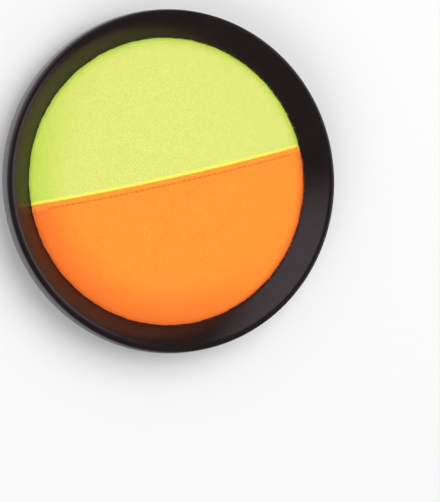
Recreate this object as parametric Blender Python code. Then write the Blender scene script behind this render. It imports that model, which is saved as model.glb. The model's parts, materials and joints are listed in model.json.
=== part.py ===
"""Hook and loop catch paddle: a round dish with a two-colour hook face and a hand strap on its back.

The paddle lies face up on its foot ring. The seam and the strap run along X, the upper half of the
face is at +Y and the face looks along +Z. All sizes below are in millimetres.
"""
import math

import bmesh
import bpy

MM = 0.001

# Clearance between neighbouring pieces
GAP = 0.3

# Dish
RIM_RADIUS = 95.0
DISH_HEIGHT = 24.0
LIP_RADIUS = 1.9
LIP_INNER_RADIUS = 3.5
SKIRT_HEIGHT = 9.6
SKIRT_FLARE = 0.8
SKIRT_THICKNESS = 1.8
WALL_THICKNESS = 2.0
WALL_RUN = 14.8
FLOOR_THICKNESS = 2.0
FLOOR_CROWN = 1.0
HAND_RECESS = 10.0
FOOT_INSET = 14.2
FOOT_THICKNESS = 3.2
FOOT_ROUNDING = 0.6
DISH_SEGMENTS = 72

# Face: hook fabric over a foam pad
FACE_CLEARANCE = 0.6
FACE_CROWN = 3.2
FACE_FLATNESS = 8
EDGE_ROLL_SHARE = 0.3
FABRIC_THICKNESS = 0.8
SEAM_OFFSET = 1.7
HEM_WIDTH = 6.0
HEM_RAMP = 2.5
HEM_HEIGHT = 0.7
FOAM_INSET = 3.6
SEAM_STITCH_INSET = 3.0
SEAM_STITCH_REACH = 0.9

# Strap
STRAP_WIDTH = 38.0
STRAP_THICKNESS = 1.4
STRAP_DROP = 4.3
STRAP_DROP_LENGTH = 16.0
TIP_LENGTH = 32.0
TIP_CORNER = 5.0
TIP_CLEARANCE = 1.5
TAB_SHORTER = 1.0
PATCH_THICKNESS = 1.0
PATCH_MARGIN = 2.0
HOOK_PATCH_LENGTH = 24.0
LOOP_PATCH_LENGTH = 27.0
PATCH_INSET = 3.0

# Strap fixings
BOSS_CLEARANCE = 2.0
BOSS_LENGTH = 15.5
BOSS_MARGIN = 2.0
BOSS_HEIGHT = 2.0
RIVET_MARGIN = 7.0
RIVET_SHANK_RADIUS = 1.6
RIVET_HEAD_RADIUS = 3.2
RIVET_HEAD_HEIGHT = 1.4
RIVET_TAIL_RADIUS = 3.0
RIVET_TAIL_HEIGHT = 0.7
COUNTERBORE_DEPTH = 1.2
WASHER_RADIUS = 4.2
WASHER_THICKNESS = 0.8

# Thread
STITCH_PITCH = 3.1
STITCH_WIDTH = 0.6
STITCH_HEIGHT = 0.5
STITCH_LINK = 0.25
STITCH_INSET = 2.0

# Radii, widths and positions along the strap that follow from the sizes above
LIP_CENTRE = (RIM_RADIUS - LIP_RADIUS, DISH_HEIGHT - LIP_RADIUS)
FLOOR_RADIUS = RIM_RADIUS - WALL_RUN
FACE_RADIUS = FLOOR_RADIUS - FACE_CLEARANCE
FOOT_RADIUS = FLOOR_RADIUS - FOOT_INSET
FOOT_INNER = FOOT_RADIUS - FOOT_THICKNESS
PATCH_WIDTH = STRAP_WIDTH - 2 * PATCH_MARGIN
BOSS_WIDTH = STRAP_WIDTH + 2 * BOSS_MARGIN
RIVET_SPACING = STRAP_WIDTH - 2 * RIVET_MARGIN
BOSS_FAR = math.sqrt((FOOT_INNER - BOSS_CLEARANCE) ** 2 - (BOSS_WIDTH / 2) ** 2)
BOSS_NEAR = BOSS_FAR - BOSS_LENGTH
RIVET_X = BOSS_FAR - BOSS_LENGTH / 2
HINGE_X = BOSS_NEAR - STRAP_THICKNESS / 2 - GAP
TIP_END = TIP_CLEARANCE - BOSS_NEAR
TIP_START = TIP_END + TIP_LENGTH
TAB_END = TIP_START - TAB_SHORTER


def floor_under(radius):
    """Height of the floor's underside, which is crowned a little."""
    return HAND_RECESS - FLOOR_CROWN * (radius / FLOOR_RADIUS) ** 2


def floor_top(radius):
    return floor_under(radius) + FLOOR_THICKNESS


def fabric_under(x, y):
    """Height of the fabric's underside: a broad crown whose edge rolls down to the dish floor."""
    share = min(1.0, math.hypot(x, y) / FACE_RADIUS)
    roll = math.sqrt(1 - share ** FACE_FLATNESS)
    dome = 1 - share ** 2
    rise = FACE_CROWN * (EDGE_ROLL_SHARE * roll + (1 - EDGE_ROLL_SHARE) * dome)
    return floor_top(FACE_RADIUS) + GAP + rise


def hem_rise(seam_distance):
    """Extra height of the turned-under edge, fading out away from the seam."""
    ramp = (seam_distance - HEM_WIDTH) / HEM_RAMP
    return HEM_HEIGHT * (1 - min(1.0, max(0.0, ramp)))


# Heights of the strap's layers
BOSS_BOTTOM = floor_under(RIVET_X) - BOSS_HEIGHT
STRAP_Z = BOSS_BOTTOM - GAP - STRAP_THICKNESS / 2
FLAP_Z = STRAP_Z - STRAP_DROP


def material(name, colour, roughness):
    made = bpy.data.materials.new(name)
    made.use_nodes = True
    made.diffuse_color = (*colour, 1)
    shader = made.node_tree.nodes["Principled BSDF"]
    shader.inputs["Base Color"].default_value = (*colour, 1)
    shader.inputs["Roughness"].default_value = roughness
    shader.inputs["Metallic"].default_value = 0
    return made


def metal(name, colour, roughness):
    made = material(name, colour, roughness)
    made.node_tree.nodes["Principled BSDF"].inputs["Metallic"].default_value = 1
    return made


def add_object(name, points, faces, surface, origin=(0, 0, 0)):
    """Make a mesh object from points in millimetres, with its origin at the given point."""
    shape = bmesh.new()
    made = [shape.verts.new([(value - start) * MM for value, start in zip(point, origin)]) for point in points]
    for face in faces:
        shape.faces.new([made[index] for index in face])
    bmesh.ops.remove_doubles(shape, verts=shape.verts, dist=1e-7)
    bmesh.ops.recalc_face_normals(shape, faces=shape.faces)
    mesh = bpy.data.meshes.new(name)
    shape.to_mesh(mesh)
    shape.free()
    mesh.materials.append(surface)
    made_object = bpy.data.objects.new(name, mesh)
    made_object.location = [value * MM for value in origin]
    bpy.context.scene.collection.objects.link(made_object)
    return made_object


def add_cutter(name, shape, surface):
    cutter = add_object(name, *shape, surface)
    cutter.hide_render = True
    cutter.display_type = "WIRE"
    return cutter


def add_boolean(target, cutter, operation):
    modifier = target.modifiers.new(operation.lower() + "_" + cutter.name, "BOOLEAN")
    modifier.operation = operation
    modifier.solver = "EXACT"
    modifier.object = cutter


def joined(shapes):
    """Put several (points, faces) shapes together as separate bodies."""
    points = []
    faces = []
    for shape_points, shape_faces in shapes:
        start = len(points)
        points += shape_points
        faces += [[start + index for index in face] for face in shape_faces]
    return points, faces


def moved(shape, x, y, z):
    points, faces = shape
    return [(px + x, py + y, pz + z) for px, py, pz in points], faces


def revolved(profile, segments, closed=False):
    """Turn a (radius, height) profile round Z. An open profile starts and ends on the axis."""
    count = len(profile)
    points = []
    for step in range(segments):
        angle = 2 * math.pi * step / segments
        points += [(r * math.cos(angle), r * math.sin(angle), z) for r, z in profile]
    faces = []
    for step in range(segments):
        here = step * count
        there = (step + 1) % segments * count
        for row in range(count if closed else count - 1):
            after = (row + 1) % count
            face = [here + row, there + row, there + after, here + after]
            if profile[row][0] == 0:
                face.remove(there + row)
            if profile[after][0] == 0:
                face.remove(there + after)
            faces.append(face)
    if not closed:
        for row in (0, count - 1):
            faces = [[row if index % count == row else index for index in face] for face in faces]
        used = sorted({index for face in faces for index in face})
        place = {index: position for position, index in enumerate(used)}
        points = [points[index] for index in used]
        faces = [[place[index] for index in face] for face in faces]
    return points, faces


def arc(centre, radius, start, end, steps):
    """Points on an arc in a profile, from the start angle to the end angle in degrees."""
    angles = [math.radians(start + (end - start) * step / steps) for step in range(steps + 1)]
    return [(centre[0] + radius * math.cos(angle), centre[1] + radius * math.sin(angle)) for angle in angles]


def block(x_range, y_range, z_range):
    points = [(x, y, z) for x in x_range for y in y_range for z in z_range]
    faces = [(0, 1, 3, 2), (4, 6, 7, 5), (0, 4, 5, 1), (2, 3, 7, 6), (0, 2, 6, 4), (1, 5, 7, 3)]
    return points, faces


def band(outline, half_widths):
    """Extrude an (x, z) outline along Y, with a half width for each of its points."""
    count = len(outline)
    points = [(x, side * width, z) for side in (-1, 1) for (x, z), width in zip(outline, half_widths)]
    faces = [list(range(count)), list(range(count, 2 * count))]
    for index in range(count):
        after = (index + 1) % count
        faces.append([index, after, count + after, count + index])
    return points, faces


def strap_outline(path, thickness, round_start=False, round_end=False):
    """Outline of a strap of the given thickness along an (x, z) path that runs towards -X.

    A rounded end is half a circle about the path's own end, so that it can turn there.
    """
    upper = []
    lower = []
    for index, (x, z) in enumerate(path):
        before = path[max(0, index - 1)]
        after = path[min(len(path) - 1, index + 1)]
        length = math.dist(before, after)
        along = ((after[0] - before[0]) / length, (after[1] - before[1]) / length)
        reach = thickness / 2
        upper.append((x + along[1] * reach, z - along[0] * reach))
        lower.append((x - along[1] * reach, z + along[0] * reach))
    start = arc(path[0], thickness / 2, -90, 90, 8)[1:-1] if round_start else []
    end = arc(path[-1], thickness / 2, 90, 270, 8)[1:-1] if round_end else []
    return upper + end + lower[::-1] + start


def thread_run(corners, height_at, up, closed=False):
    """One thread along a path of (x, y) corners, lying on a surface and rising at each stitch.

    The thread lies above the surface where up is 1 and below it where up is -1.
    """
    stations = []
    for (x0, y0), (x1, y1) in zip(corners, corners[1:]):
        count = 2 * max(1, round(math.dist((x0, y0), (x1, y1)) / STITCH_PITCH))
        for step in range(count):
            share = step / count
            thick = STITCH_HEIGHT if step % 2 else STITCH_LINK
            stations.append((x0 + (x1 - x0) * share, y0 + (y1 - y0) * share, thick))
    if not closed:
        stations.append((*corners[-1], STITCH_LINK))
    total = len(stations)
    points = []
    for index, (x, y, thick) in enumerate(stations):
        before = stations[index - 1 if closed else max(0, index - 1)]
        after = stations[(index + 1) % total if closed else min(total - 1, index + 1)]
        run = math.dist(before[:2], after[:2])
        side_x = (before[1] - after[1]) / run * STITCH_WIDTH / 2
        side_y = (after[0] - before[0]) / run * STITCH_WIDTH / 2
        low = height_at(x, y) + up * GAP
        for side, lift in ((-1, 0), (1, 0), (1, thick), (-1, thick)):
            points.append((x + side * side_x, y + side * side_y, low + up * lift))
    faces = []
    for index in range(total if closed else total - 1):
        here = 4 * index
        there = 4 * ((index + 1) % total)
        for corner in range(4):
            after = (corner + 1) % 4
            faces.append([here + corner, here + after, there + after, there + corner])
    if not closed:
        faces += [[0, 1, 2, 3], [4 * total - 4, 4 * total - 3, 4 * total - 2, 4 * total - 1]]
    return points, faces


def rectangle(x_low, x_high, half_width):
    return [(x_low, -half_width), (x_high, -half_width), (x_high, half_width),
            (x_low, half_width), (x_low, -half_width)]


def half_face(side, hem):
    """One part of the fabric disc on one side of the seam, as rows along the seam from seam to rim."""
    start = GAP / 2
    depth = FACE_RADIUS - side * SEAM_OFFSET
    rows = [start]
    if hem:
        rows += [HEM_WIDTH, HEM_WIDTH + HEM_RAMP]
    last = rows[-1]
    steps = 10
    for step in range(1, steps):
        turn = math.pi / 2 * step / steps
        rows.append(last + (depth - last) * math.sin(turn))
    rows.append(depth)
    across = 20
    sheets = []
    for top in (False, True):
        for distance in rows:
            y = SEAM_OFFSET + side * distance
            reach = math.sqrt(max(0.0, FACE_RADIUS ** 2 - y ** 2))
            for step in range(across + 1):
                x = reach * math.sin(math.pi * (step / across - 0.5))
                height = fabric_under(x, y)
                if top:
                    height += FABRIC_THICKNESS
                    height += hem_rise(distance) if hem else 0
                sheets.append((x, y, height))
    width = across + 1
    layer = width * len(rows)
    faces = []
    for row in range(len(rows) - 1):
        for step in range(across):
            corner = row * width + step
            low = [corner, corner + 1, corner + width + 1, corner + width]
            faces.append(low)
            faces.append([index + layer for index in low])
        for edge in (row * width, row * width + across):
            faces.append([edge, edge + width, edge + width + layer, edge + layer])
    for step in range(across):
        faces.append([step, step + 1, step + 1 + layer, step + layer])
    return pole_closed(sheets, faces, width, layer)


def pole_closed(points, faces, width, layer):
    """Draw each sheet's last row, where the rim closes it, together into one point."""
    swap = {}
    for top in (layer, 2 * layer):
        for index in range(top - width, top):
            swap[index] = top - width
    closed = []
    for face in faces:
        kept = []
        for index in face:
            index = swap.get(index, index)
            if index not in kept:
                kept.append(index)
        if len(kept) > 2:
            closed.append(kept)
    used = sorted({index for face in closed for index in face})
    place = {index: position for position, index in enumerate(used)}
    return [points[index] for index in used], [[place[index] for index in face] for face in closed]


def crossing(line_a, line_b):
    """Point where two lines, each given by two points, meet."""
    (x1, y1), (x2, y2) = line_a
    (x3, y3), (x4, y4) = line_b
    spread = (x1 - x2) * (y3 - y4) - (y1 - y2) * (x3 - x4)
    a = x1 * y2 - y1 * x2
    b = x3 * y4 - y3 * x4
    return ((a * (x3 - x4) - (x1 - x2) * b) / spread, (a * (y3 - y4) - (y1 - y2) * b) / spread)


def dish_profile():
    """The dish from its centre out along the floor, over the lip and back in along the underside."""
    corner = (FLOOR_RADIUS, floor_top(FLOOR_RADIUS))
    roll_centre = (LIP_CENTRE[0], DISH_HEIGHT - LIP_INNER_RADIUS)
    slope = math.atan2(roll_centre[1] - corner[1], roll_centre[0] - corner[0])
    slope += math.asin(LIP_INNER_RADIUS / math.dist(corner, roll_centre))
    outward = (math.sin(slope) * WALL_THICKNESS, -math.cos(slope) * WALL_THICKNESS)
    floor_steps = [0, 0.35, 0.65, 0.85]
    top = [(FLOOR_RADIUS * share, floor_top(FLOOR_RADIUS * share)) for share in floor_steps]
    lip = arc(roll_centre, LIP_INNER_RADIUS, math.degrees(slope) + 90, 90, 4)
    lip += arc(LIP_CENTRE, LIP_RADIUS, 90, 0, 5)[1:]

    skirt_low = DISH_HEIGHT - SKIRT_HEIGHT
    edge = SKIRT_THICKNESS / 2
    edge_centre = (RIM_RADIUS + SKIRT_FLARE - edge, skirt_low + edge)
    skirt_edge = arc(edge_centre, edge, 0, -180, 6)

    wall_low = (corner[0] + outward[0], corner[1] + outward[1])
    wall_high = (wall_low[0] + math.cos(slope), wall_low[1] + math.sin(slope))
    skirt_inner = (skirt_edge[-1], (LIP_CENTRE[0] + LIP_RADIUS - SKIRT_THICKNESS, LIP_CENTRE[1]))
    rim_hollow = crossing((wall_low, wall_high), skirt_inner)
    floor_edge = crossing((wall_low, wall_high), ((0, floor_under(FLOOR_RADIUS)), (1, floor_under(FLOOR_RADIUS))))

    foot = [
        (FOOT_RADIUS, floor_under(FOOT_RADIUS)),
        (FOOT_RADIUS, FOOT_ROUNDING),
        (FOOT_RADIUS - FOOT_ROUNDING, 0),
        (FOOT_INNER + FOOT_ROUNDING, 0),
        (FOOT_INNER, FOOT_ROUNDING),
        (FOOT_INNER, floor_under(FOOT_INNER)),
    ]
    under = [(FOOT_INNER * share, floor_under(FOOT_INNER * share)) for share in (0.66, 0.33, 0)]
    return top + [corner] + lip + skirt_edge + [rim_hollow, floor_edge] + foot + under


def foam_profile():
    radius = FACE_RADIUS - FOAM_INSET
    steps = [0, 0.4, 0.7, 0.85, 0.94, 1]
    top = [(radius * share, fabric_under(radius * share, 0) - GAP) for share in steps]
    low = [(radius * share, floor_top(radius * share) + GAP) for share in (1, 0.8, 0.5, 0)]
    return top + low


def rivet_profile():
    """One rivet from its formed tail in the counterbore down to its domed head."""
    tail_low = floor_top(RIVET_X) - COUNTERBORE_DEPTH + GAP
    washer_low = STRAP_Z - STRAP_THICKNESS / 2 - 2 * GAP - WASHER_THICKNESS
    head_top = washer_low - GAP
    dome = []
    for share in (1, 0.8, 0.45, 0):
        drop = RIVET_HEAD_HEIGHT * (0.3 + 0.7 * math.sqrt(1 - share ** 2))
        dome.append((RIVET_HEAD_RADIUS * share, head_top - drop))
    return [
        (0, tail_low + RIVET_TAIL_HEIGHT),
        (RIVET_TAIL_RADIUS, tail_low + RIVET_TAIL_HEIGHT),
        (RIVET_TAIL_RADIUS, tail_low),
        (RIVET_SHANK_RADIUS, tail_low),
        (RIVET_SHANK_RADIUS, head_top),
        (RIVET_HEAD_RADIUS, head_top),
    ] + dome


def rivet_hole_profile():
    """Clearance hole for a rivet, with its counterbore at the top of the floor."""
    hole = RIVET_SHANK_RADIUS + GAP
    bore = RIVET_TAIL_RADIUS + 2 * GAP
    step = floor_top(RIVET_X) - COUNTERBORE_DEPTH
    above = floor_top(RIVET_X) + 1
    return [(0, above), (bore, above), (bore, step), (hole, step), (hole, 0), (0, 0)]


def washer_profile():
    top = STRAP_Z - STRAP_THICKNESS / 2 - GAP
    low = top - WASHER_THICKNESS
    inner = RIVET_SHANK_RADIUS + GAP
    return [(inner, top), (WASHER_RADIUS, top), (WASHER_RADIUS, low), (inner, low)]


def at_rivets(shape):
    return joined([moved(shape, x, y * RIVET_SPACING / 2, 0) for x in (-RIVET_X, RIVET_X) for y in (-1, 1)])


def flap_path():
    """The flap from its hinge, down off the strap end and along to where the tip starts."""
    steps = 10
    path = []
    for step in range(steps + 1):
        share = step / steps
        ease = share * share * (3 - 2 * share)
        path.append((HINGE_X - STRAP_DROP_LENGTH * share, STRAP_Z - STRAP_DROP * ease))
    path.append((TIP_START + STRAP_THICKNESS + GAP, FLAP_Z))
    return path


for old in list(bpy.data.objects):
    bpy.data.objects.remove(old, do_unlink=True)

black_plastic = material("black_plastic", (0.012, 0.011, 0.012), 0.28)
yellow_fabric = material("yellow_fabric", (0.78, 0.85, 0.17), 0.75)
orange_fabric = material("orange_fabric", (0.95, 0.32, 0.045), 0.75)
seam_thread = material("seam_thread", (0.78, 0.24, 0.03), 0.7)
grey_foam = material("grey_foam", (0.12, 0.12, 0.12), 0.9)
black_webbing = material("black_webbing", (0.02, 0.02, 0.021), 0.7)
black_tape = material("black_tape", (0.03, 0.03, 0.031), 0.85)
black_thread = material("black_thread", (0.05, 0.05, 0.05), 0.6)
rivet_steel = metal("rivet_steel", (0.6, 0.6, 0.58), 0.35)

# Dish with a boss for each strap end and holes for the rivets
rivet_holes = at_rivets(revolved(rivet_hole_profile(), 16))
hole_cutter = add_cutter("rivet_hole_cutter", rivet_holes, black_plastic)
boss_x = (BOSS_NEAR, BOSS_FAR)
boss_y = (-BOSS_WIDTH / 2, BOSS_WIDTH / 2)
boss_z = (BOSS_BOTTOM, floor_under(RIVET_X) + FLOOR_THICKNESS / 2)
bosses = joined([block([side * x for x in boss_x], boss_y, boss_z) for side in (-1, 1)])
boss_adder = add_cutter("boss_adder", bosses, black_plastic)
dish = add_object("dish", *revolved(dish_profile(), DISH_SEGMENTS), black_plastic)
add_boolean(dish, boss_adder, "UNION")
add_boolean(dish, hole_cutter, "DIFFERENCE")

# Face
add_object("foam_pad", *revolved(foam_profile(), DISH_SEGMENTS), grey_foam)
add_object("hook_face_upper", *half_face(1, hem=False), yellow_fabric)
add_object("hook_face_lower", *half_face(-1, hem=True), orange_fabric)


def hem_top(x, y):
    return fabric_under(x, y) + FABRIC_THICKNESS + hem_rise(SEAM_OFFSET - y)


seam_reach = FACE_RADIUS * SEAM_STITCH_REACH
seam_y = SEAM_OFFSET - SEAM_STITCH_INSET
seam_line = [(-seam_reach, seam_y), (seam_reach, seam_y)]
add_object("seam_stitching", *thread_run(seam_line, hem_top, 1), seam_thread)

# Fixed ends of the strap, one of them with the tab that the tip closes onto
half_strap = STRAP_WIDTH / 2
root_path = [(BOSS_FAR, STRAP_Z), (BOSS_NEAR + STRAP_THICKNESS / 2, STRAP_Z)]
root_outline = strap_outline(root_path, STRAP_THICKNESS, round_end=True)
strap_root = add_object("strap_root", *band(root_outline, [half_strap] * len(root_outline)), black_webbing)
add_boolean(strap_root, hole_cutter, "DIFFERENCE")
tab_outline = strap_outline([(TAB_END, STRAP_Z), (-BOSS_FAR, STRAP_Z)], STRAP_THICKNESS)
strap_tab = add_object("strap_tab", *band(tab_outline, [half_strap] * len(tab_outline)), black_webbing)
add_boolean(strap_tab, hole_cutter, "DIFFERENCE")

# Swinging flap and the tip that peels off, each with its origin on its hinge line
flap_outline = strap_outline(flap_path(), STRAP_THICKNESS, round_start=True, round_end=True)
flap_widths = [half_strap] * len(flap_outline)
flap_hinge = (HINGE_X, 0, STRAP_Z)
add_object("strap_flap", *band(flap_outline, flap_widths), black_webbing, flap_hinge)

tip_path = [(TIP_START, FLAP_Z), (TIP_END + TIP_CORNER, FLAP_Z), (TIP_END, FLAP_Z)]
tip_outline = strap_outline(tip_path, STRAP_THICKNESS, round_start=True)
tip_widths = [half_strap - TIP_CORNER if x < TIP_END + TIP_CORNER / 2 else half_strap for x, z in tip_outline]
tip_hinge = (TIP_START, 0, FLAP_Z)
add_object("strap_tip", *band(tip_outline, tip_widths), black_webbing, tip_hinge)

# Hook tape on the tip, loop tape on the tab, and their stitching
half_patch = PATCH_WIDTH / 2
patch_start = TIP_START - PATCH_INSET
hook_low = FLAP_Z + STRAP_THICKNESS / 2 + GAP
hook_x = (patch_start - HOOK_PATCH_LENGTH, patch_start)
hook_shape = block(hook_x, (-half_patch, half_patch), (hook_low, hook_low + PATCH_THICKNESS))
add_object("hook_patch", *hook_shape, black_tape, tip_hinge)
loop_top = STRAP_Z - STRAP_THICKNESS / 2 - GAP
loop_x = (patch_start - LOOP_PATCH_LENGTH, patch_start)
loop_shape = block(loop_x, (-half_patch, half_patch), (loop_top - PATCH_THICKNESS, loop_top))
add_object("loop_patch", *loop_shape, black_tape)

stitch_half = half_patch - STITCH_INSET
hook_run = rectangle(hook_x[0] + STITCH_INSET, hook_x[1] - STITCH_INSET, stitch_half)
hook_stitches = thread_run(hook_run, lambda x, y: FLAP_Z - STRAP_THICKNESS / 2, -1, closed=True)
add_object("hook_patch_stitching", *hook_stitches, black_thread, tip_hinge)
loop_run = rectangle(loop_x[0] + STITCH_INSET, loop_x[1] - STITCH_INSET, stitch_half)
loop_stitches = thread_run(loop_run, lambda x, y: STRAP_Z + STRAP_THICKNESS / 2, 1, closed=True)
add_object("loop_patch_stitching", *loop_stitches, black_thread)

# Rivets and washers, one set at each hole
rivet_shape = revolved(rivet_profile(), 16)
washer_shape = revolved(washer_profile(), 20, closed=True)
for side, side_name in ((-1, "left"), (1, "right")):
    for row, row_name in ((-1, "lower"), (1, "upper")):
        place = (side * RIVET_X, row * RIVET_SPACING / 2, 0)
        spot = f"{side_name}_{row_name}"
        add_object(f"rivet_{spot}", *moved(rivet_shape, *place), rivet_steel, place)
        add_object(f"washer_{spot}", *moved(washer_shape, *place), rivet_steel, place)
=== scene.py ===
import json
import math

import bmesh
import bpy
import numpy as np
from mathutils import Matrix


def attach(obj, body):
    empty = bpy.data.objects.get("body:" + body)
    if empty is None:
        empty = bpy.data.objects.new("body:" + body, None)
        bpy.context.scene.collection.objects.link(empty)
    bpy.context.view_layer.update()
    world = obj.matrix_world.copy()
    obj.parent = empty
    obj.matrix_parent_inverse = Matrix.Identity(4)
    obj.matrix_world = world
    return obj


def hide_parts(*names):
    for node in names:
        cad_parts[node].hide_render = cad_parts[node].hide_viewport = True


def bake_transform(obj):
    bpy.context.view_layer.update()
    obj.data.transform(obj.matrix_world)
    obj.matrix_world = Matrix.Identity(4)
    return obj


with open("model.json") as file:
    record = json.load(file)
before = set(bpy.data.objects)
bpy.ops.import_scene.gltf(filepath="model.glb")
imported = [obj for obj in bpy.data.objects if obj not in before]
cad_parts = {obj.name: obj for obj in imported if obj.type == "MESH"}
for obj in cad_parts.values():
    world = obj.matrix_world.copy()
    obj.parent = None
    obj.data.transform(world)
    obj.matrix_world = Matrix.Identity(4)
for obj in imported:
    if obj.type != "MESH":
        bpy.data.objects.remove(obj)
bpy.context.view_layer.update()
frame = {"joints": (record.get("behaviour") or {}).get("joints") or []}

# Shapes are worked out in millimetres and put into meshes in metres.
MM = 0.001
UP = np.array([0.0, 0.0, 1.0])
GAP = 0.3
chance = np.random.default_rng(41)
hinges = {joint["name"]: np.array(joint["pos_m"]) / MM for joint in frame["joints"]}

# Dish
RIM_RADIUS = 95.0
DISH_HEIGHT = 24.0
LIP_RADIUS = 1.9
LIP_INNER_RADIUS = 3.5
LIP_CENTRE = np.array([RIM_RADIUS - LIP_RADIUS, DISH_HEIGHT - LIP_RADIUS])
SKIRT_HEIGHT = 9.6
SKIRT_FLARE = 0.8
SKIRT_THICKNESS = 1.8
PARTING_SWELL = 0.13
PARTING_WIDTH = 0.22
PARTING_DROP = 1.1
WALL_RUN = 14.8
WALL_THICKNESS = 2.0
WALL_BEND = math.radians(6)
FLOOR_RADIUS = RIM_RADIUS - WALL_RUN
WALL_FOOT = FLOOR_RADIUS - 0.5
FLOOR_THICKNESS = 2.0
FLOOR_CROWN = 1.0
HAND_RECESS = 10.0
FOOT_INSET = 14.2
FOOT_THICKNESS = 3.2
FOOT_RADIUS = FLOOR_RADIUS - FOOT_INSET
FOOT_INNER = FOOT_RADIUS - FOOT_THICKNESS

# Face
FACE_CLEARANCE = 0.6
FACE_RADIUS = FLOOR_RADIUS - FACE_CLEARANCE
FACE_CROWN = 3.2
FACE_FLATNESS = 8
EDGE_ROLL_SHARE = 0.3
EDGE_WIDTH = 1.6
EDGE_SPREAD = 0.72
EDGE_DROP = 0.3
EDGE_LIFT = 0.35
FABRIC_THICKNESS = 0.8
UNEVENNESS = 0.10
# Painted shade: the face is coloured deeper near the rim, and over a broader band towards this side, as if in
# shade.
SHADED_SIDE = (-0.843, -0.537)
BROAD_SHADE_REACH = 28
NARROW_SHADE_REACH = 5
FOAM_INSET = 3.6
FOAM_RADIUS = FACE_RADIUS - FOAM_INSET

# Seam
SEAM_OFFSET = 1.7
SEAM_BOW = 1.9
SEAM_CLEARANCE = 0.05
SEAM_PRESS = 0.3
SEAM_PRESS_WIDTH = 1.3
HEM_HEIGHT = 0.7
HEM_LAP = 0.35
HEM_FLAT_END = 3.0
HEM_RAMP_END = 11.0
FURROW_DEPTH = 0.42
FURROW_WIDTH = 0.6
PUCKER_HEIGHT = 0.11
PUCKER_WIDTH = 1.5
STITCH_PITCH = 3.1
SEAM_STITCH_INSET = 2.6
SEAM_STITCH_REACH = 0.9 * FACE_RADIUS
SEAM_STITCH_GAP = 0.3

# Hook pile and loose yarn ends
HOOK_HEIGHT = 0.52
HOOK_WIRE = 0.062
HOOK_SHAPE = np.array([[0, -0.15], [-0.02, 0.72], [0.24, 1.0], [0.47, 0.68]])
HOOK_TAPER = np.array([1.15, 1.05, 1, 0.75])
HOOK_RISE = np.array([0, 0.7, 1, 0.9])
ROW_PITCH = 1.13
ROWS_EACH_WAY = 72
ROW_JITTER = 0.27
HOOK_PITCH = 0.95
HOOKS_IN_ROW = 90
HOOK_JITTER = 0.24
HEADING_JITTER = 0.8
HEM_PILE_START = 0.7
FLAT_PILE_START = 2.0
STITCH_CLEARANCE = 0.55
FRINGE_HAIRS = 760
FRINGE_BEND = 0.4
FRINGE_WIRE = np.array([[0.085, 0.08, 0.07, 0.045]])

# Strap, which turns at the frame's two hinges
HINGE_X, STRAP_Z = hinges["strap_swing"][[0, 2]]
TIP_START, FLAP_Z = hinges["strap_tip_peel"][[0, 2]]
STRAP_WIDTH = 38.0
STRAP_THICKNESS = 1.4
STRAP_DROP = STRAP_Z - FLAP_Z
STRAP_DROP_LENGTH = 16.0
STRIPE_WIDTH = 4.75
RIB_PITCH = 1.9
RIB_DEPTH = 0.09
FLAT_POINTS = 85
EDGE_POINTS = 7
END_ROUNDING = 0.5
TIP_LENGTH = 32.0
TIP_CORNER = 5.0
TIP_END = TIP_START - TIP_LENGTH
TAB_END = TIP_START - 1.0
JOIN_X = TIP_START + 4
BUTT = 0.02

# Hook and loop tape
HALF_PATCH = STRAP_WIDTH / 2 - 2
PATCH_START = TIP_START - 3
HOOK_PATCH_END = PATCH_START - 24
LOOP_PATCH_END = PATCH_START - 27
PATCH_BASE = 0.45
PATCH_GAP = 0.05
PATCH_CORNER = 1.2
PATCH_ROUNDING = 0.15
PATCH_STITCH_INSET = 2.0
TAPE_HOOK_PITCH = 1.15
TAPE_HOOK_HEIGHT = 0.62
TAPE_LOOP_PITCH = 0.95
TAPE_LOOP_RADIUS = 0.45
TAPE_LOOP_WIRE = 0.07

# Strap fixings
BOSS_LENGTH = 15.5
BOSS_NEAR = HINGE_X + STRAP_THICKNESS / 2 + GAP
BOSS_FAR = BOSS_NEAR + BOSS_LENGTH
BOSS_BOTTOM = STRAP_Z + STRAP_THICKNESS / 2 + GAP
BOSS_WIDTH = STRAP_WIDTH + 4
BOSS_SINK = 0.8
BOSS_CORNER = 3.0
BOSS_ROUNDING = 0.6
RIVET_X = BOSS_FAR - BOSS_LENGTH / 2
RIVET_Y = STRAP_WIDTH / 2 - 7
RIVET_SHANK_RADIUS = 1.6
RIVET_HEAD_RADIUS = 3.2
RIVET_HEAD_EDGE = 0.42
RIVET_DOME_HEIGHT = 0.98
RIVET_TAIL_RADIUS = 3.0
RIVET_TAIL_HEIGHT = 0.7
RIVET_TAIL_SINK = 0.9
WASHER_RADIUS = 4.2
WASHER_MIDDLE = 3.0
WASHER_HOLE = 1.9
WASHER_THICKNESS = 0.8
SEAT_GAP = 0.02


def smooth_step(low, high, value):
    """0 up to low, 1 from high on, and the curve 3s^2 - 2s^3 between them."""
    share = np.clip((value - low) / (high - low), 0, 1)
    return share * share * (3 - 2 * share)


def unit(vectors):
    """Each vector divided by its own length."""
    return vectors / np.maximum(np.linalg.norm(vectors, axis=-1, keepdims=True), 1e-9)


def level_lean(heading):
    """The level direction of length 1 at each angle t, (cos t, sin t, 0)."""
    return np.stack([np.cos(heading), np.sin(heading), np.zeros(len(heading))], axis=1)


def random_lean(count):
    """Level directions of length 1, each at a random angle."""
    return level_lean(chance.random(count) * 2 * np.pi)


def grid_faces(rows, columns, close_rows=False, close_columns=False):
    """Four-sided faces between neighbouring points of a grid, closed round where asked."""
    row = np.arange(rows if close_rows else rows - 1)
    column = np.arange(columns if close_columns else columns - 1)
    row, column = (part.ravel() for part in np.meshgrid(row, column, indexing="ij"))
    next_row, next_column = (row + 1) % rows, (column + 1) % columns
    return np.stack([row * columns + column, row * columns + next_column,
                     next_row * columns + next_column, next_row * columns + column], axis=1)


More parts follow.
